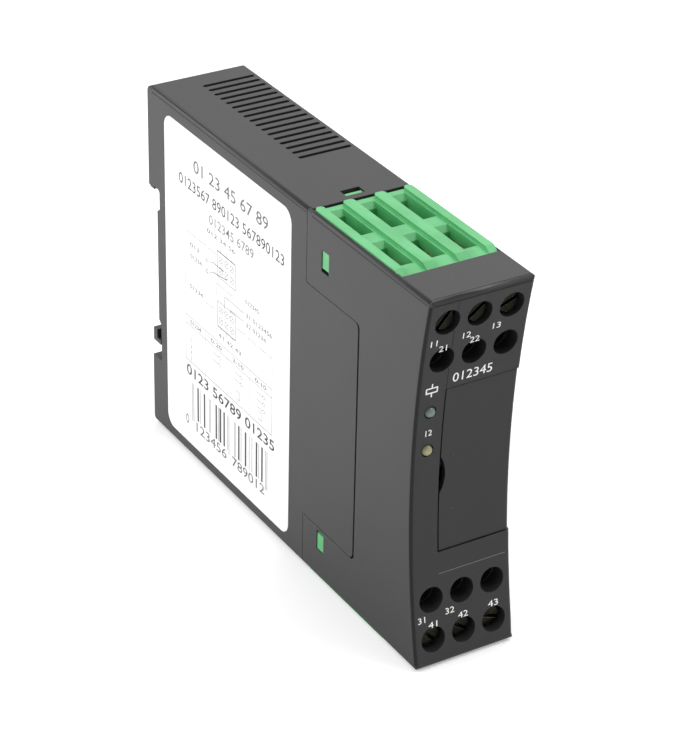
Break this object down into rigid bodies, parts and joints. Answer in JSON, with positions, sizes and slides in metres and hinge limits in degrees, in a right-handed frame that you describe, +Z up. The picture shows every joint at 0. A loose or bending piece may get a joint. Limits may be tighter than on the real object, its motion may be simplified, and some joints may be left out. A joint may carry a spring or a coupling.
{
  "type": "signal converter",
  "caption": "Narrow rail-mounted signal converter: dark housing, concave front with screw terminals, indicator lamps and a hinged flap, green wire entries, vents and side label.",
  "frame": {"origin": "middle of the footprint, on the plane that the lower terminal ridges rest on", "axes": "+Z up along the housing, +Y from the concave front to the rail, +X across the rail, the label on the -X side"},
  "size_m": [0.0226, 0.1078, 0.0808],
  "materials": {
    "dark_shell": "fine matte moulded texture",
    "green_plastic": "satin moulded",
    "screw_steel": "zinc plated",
    "clamp_brass": "dull plated",
    "contact_tin": "tinned",
    "spring_steel": "bright wire",
    "label_film": "white satin",
    "lamp_green": "clear tinted",
    "lamp_yellow": "clear tinted",
    "board_green": "solder mask",
    "chip_black": "moulded",
    "trimmer_blue": "moulded",
    "rotor_white": "moulded",
    "rotor_orange": "moulded",
    "ferrite": "pressed",
    "coil_tape": "wound tape",
    "sleeve_blue": "shrunk sleeve",
    "film_red": "dipped"
  },
  "bodies": {
    "module": {"rear_housing": "dark_shell", "front_hood": "dark_shell", "top_terminal_block": "green_plastic", "bottom_terminal_block": "green_plastic", "top_terminal_screws": "screw_steel", "bottom_terminal_screws": "screw_steel", "top_clamp_cages": "clamp_brass", "bottom_clamp_cages": "clamp_brass", "top_contact_bars": "contact_tin", "bottom_contact_bars": "contact_tin", "foot_spring": "spring_steel", "side_label": "label_film", "green_lamp": "lamp_green", "yellow_lamp": "lamp_yellow", "main_board": "board_green", "front_board": "board_green", "top_riser_board": "board_green", "bottom_riser_board": "board_green", "top_header": "chip_black", "bottom_header": "chip_black", "front_header": "chip_black", "zero_trimmer": "trimmer_blue", "span_trimmer": "trimmer_blue", "range_switch": "chip_black", "transformer_core": "ferrite", "transformer_coil": "coil_tape", "optocouplers": "chip_black", "capacitors": "sleeve_blue", "signal_chips": "chip_black", "regulator": "chip_black", "choke": "ferrite", "film_capacitor": "film_red"},
    "flap": {"front_flap": "dark_shell"},
    "foot": {"rail_foot": "dark_shell"},
    "zero_dial": {"zero_rotor": "rotor_white"},
    "span_dial": {"span_rotor": "rotor_white"},
    "range_dial": {"range_rotor": "rotor_orange"}
  },
  "joints": [
    {"name": "flap_hinge", "type": "hinge", "parent": "module", "child": "flap", "pos_m": [0.00945, -0.04813, 0.0417], "axis": [0, 0, 1], "range_deg": [0, 100]},
    {"name": "foot_slide", "type": "slide", "parent": "module", "child": "foot", "axis": [0, 0, 1], "range_m": [-0.0025, 0], "stiffness_N_per_m": 800, "springref_m": 0.002, "deforming": ["foot_spring"]},
    {"name": "zero_turn", "type": "hinge", "parent": "module", "child": "zero_dial", "pos_m": [0.0004, -0.04408, 0.0515], "axis": [0, 1, 0], "range_deg": [-135, 135]},
    {"name": "span_turn", "type": "hinge", "parent": "module", "child": "span_dial", "pos_m": [0.0004, -0.04408, 0.04205], "axis": [0, 1, 0], "range_deg": [-135, 135]},
    {"name": "range_turn", "type": "hinge", "parent": "module", "child": "range_dial", "pos_m": [0.0012, -0.04408, 0.03095], "axis": [0, 1, 0], "continuous": true}
  ]
}
